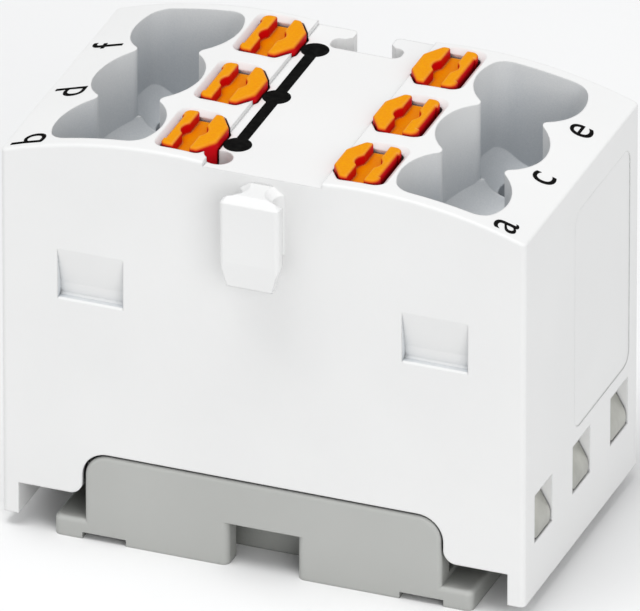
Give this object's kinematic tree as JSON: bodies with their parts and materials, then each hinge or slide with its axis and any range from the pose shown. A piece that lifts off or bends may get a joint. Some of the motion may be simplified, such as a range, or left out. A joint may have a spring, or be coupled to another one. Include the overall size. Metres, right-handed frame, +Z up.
{
  "type": "power distribution block",
  "caption": "Push-in power distribution block: wire funnels in two rows, an orange release lever at each, a white housing with a coupling lug, and a grey clip-on foot.",
  "frame": {"origin": "centre of the foot's underside, midway between the front and back faces and between the two rows", "axes": "+X along the block, across the two rows; +Y from the front face with the coupling lug to the back face with the notch; +Z up, the way the wires come out"},
  "size_m": [0.0286, 0.0184, 0.0236],
  "materials": {
    "housing_plastic": "fine matt moulding",
    "foot_plastic": "fine matt moulding",
    "lever_plastic": "satin moulding",
    "tinned_copper": "dull tin plating",
    "spring_steel": "rolled strip"
  },
  "bodies": {
    "block": {"housing": "housing_plastic", "foot": "foot_plastic", "busbar": "tinned_copper", "spring_a": "spring_steel", "spring_b": "spring_steel", "spring_c": "spring_steel", "spring_d": "spring_steel", "spring_e": "spring_steel", "spring_f": "spring_steel"},
    "lever_a": {"lever_a": "lever_plastic"},
    "lever_b": {"lever_b": "lever_plastic"},
    "lever_c": {"lever_c": "lever_plastic"},
    "lever_d": {"lever_d": "lever_plastic"},
    "lever_e": {"lever_e": "lever_plastic"},
    "lever_f": {"lever_f": "lever_plastic"}
  },
  "joints": [
    {"name": "lever_a_press", "type": "slide", "parent": "block", "child": "lever_a", "axis": [0, 0, -1], "range_m": [0, 0.0018], "stiffness_N_per_m": 8000, "deforming": ["spring_a"]},
    {"name": "lever_b_press", "type": "slide", "parent": "block", "child": "lever_b", "axis": [0, 0, -1], "range_m": [0, 0.0018], "stiffness_N_per_m": 8000, "deforming": ["spring_b"]},
    {"name": "lever_c_press", "type": "slide", "parent": "block", "child": "lever_c", "axis": [0, 0, -1], "range_m": [0, 0.0018], "stiffness_N_per_m": 8000, "deforming": ["spring_c"]},
    {"name": "lever_d_press", "type": "slide", "parent": "block", "child": "lever_d", "axis": [0, 0, -1], "range_m": [0, 0.0018], "stiffness_N_per_m": 8000, "deforming": ["spring_d"]},
    {"name": "lever_e_press", "type": "slide", "parent": "block", "child": "lever_e", "axis": [0, 0, -1], "range_m": [0, 0.0018], "stiffness_N_per_m": 8000, "deforming": ["spring_e"]},
    {"name": "lever_f_press", "type": "slide", "parent": "block", "child": "lever_f", "axis": [0, 0, -1], "range_m": [0, 0.0018], "stiffness_N_per_m": 8000, "deforming": ["spring_f"]}
  ]
}
